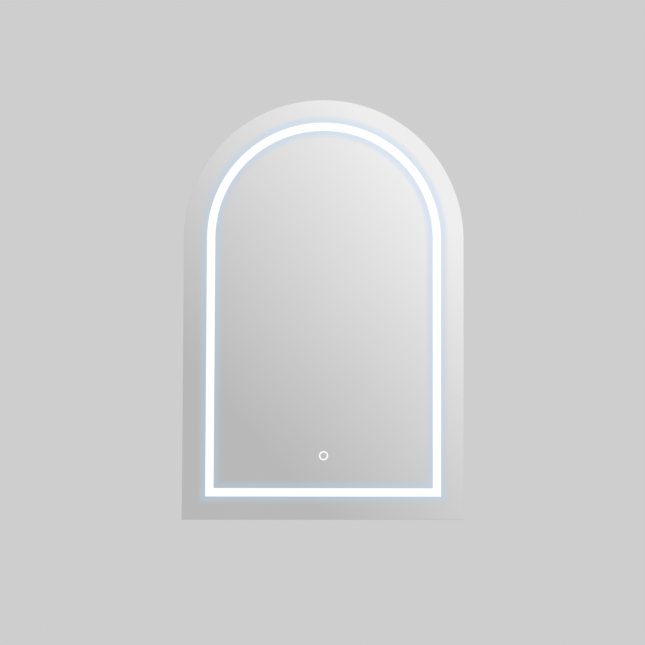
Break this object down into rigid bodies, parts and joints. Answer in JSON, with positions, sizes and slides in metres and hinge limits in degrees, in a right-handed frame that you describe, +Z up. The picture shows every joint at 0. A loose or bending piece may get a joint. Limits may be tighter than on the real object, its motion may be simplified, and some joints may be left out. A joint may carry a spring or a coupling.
{
  "type": "lighted mirror cabinet",
  "caption": "Arched wall cabinet with a hinged mirror door, a lit band set in from its edge and a lit touch ring, glass shelves and a piano hinge.",
  "frame": {"origin": "centre of the four wall screw holes, on the wall plane, at mid-height of the mirror", "axes": "+X to the right seen from the front, +Y into the wall, +Z up; the mirror faces -Y"},
  "size_m": [0.61, 0.1252, 0.9139],
  "materials": {
    "satin_aluminium": "satin anodised",
    "back_sheet": "satin powder coat",
    "front_mirror": "silvered glass, polished edge, etched lit band and ring",
    "inner_mirror": "silvered glass",
    "clear_glass": "polished",
    "plated_steel": "zinc plated",
    "hinge_steel": "brushed stainless",
    "clip_plastic": "moulded, matte",
    "white_plastic": "moulded, matte",
    "black_rubber": "matte",
    "lead_sheath": "extruded, satin",
    "magnet_dark": "sintered ferrite, matte",
    "soft_bumper": "translucent, satin",
    "foam_tape": "closed-cell foam",
    "opal_plastic": "opal diffusing",
    "strip_board": "white solder mask",
    "led_face": "phosphor resin",
    "heater_film": "film"
  },
  "bodies": {
    "cabinet": {"body_shell": "satin_aluminium", "bottom_panel": "satin_aluminium", "back_panel": "back_sheet", "back_rivets": "plated_steel", "back_mirror": "inner_mirror", "corner_bracket_left": "plated_steel", "corner_bracket_right": "plated_steel", "bracket_screws": "plated_steel", "shelf_rail_front_left": "satin_aluminium", "shelf_rail_back_left": "satin_aluminium", "shelf_rail_front_right": "satin_aluminium", "shelf_rail_back_right": "satin_aluminium", "shelf_lower": "clear_glass", "shelf_middle": "clear_glass", "shelf_upper": "clear_glass", "shelf_clips_lower": "clip_plastic", "shelf_clips_middle": "clip_plastic", "shelf_clips_upper": "clip_plastic", "driver_cover": "satin_aluminium", "cover_screws": "plated_steel", "led_driver": "white_plastic", "driver_screws": "plated_steel", "terminal_block": "white_plastic", "mains_link": "lead_sheath", "cable_gland": "black_rubber", "supply_lead": "lead_sheath", "lead_clips": "clip_plastic", "lead_bush_body": "black_rubber", "door_lead": "lead_sheath", "hinge_body_leaf": "hinge_steel", "hinge_body_screws": "plated_steel", "hinge_pin": "hinge_steel", "catch_housing": "white_plastic", "catch_magnet": "magnet_dark", "catch_screws": "plated_steel", "door_bumpers": "soft_bumper"},
    "door": {"hinge_door_leaf": "hinge_steel", "hinge_door_screws": "plated_steel", "door_tray": "satin_aluminium", "glass_tape": "foam_tape", "mirror_glass": "front_mirror", "light_channel": "satin_aluminium", "led_strip": "strip_board", "led_chips": "led_face", "light_diffuser": "opal_plastic", "demister_pad": "heater_film", "touch_sensor": "white_plastic", "door_harness": "lead_sheath", "lead_bush_door": "black_rubber", "door_mirror": "inner_mirror", "strike_plate": "plated_steel"}
  },
  "joints": [
    {"name": "door_hinge", "type": "hinge", "parent": "cabinet", "child": "door", "pos_m": [-0.2985, -0.1011, 0], "axis": [0, 0, -1], "range_deg": [0, 110]}
  ]
}
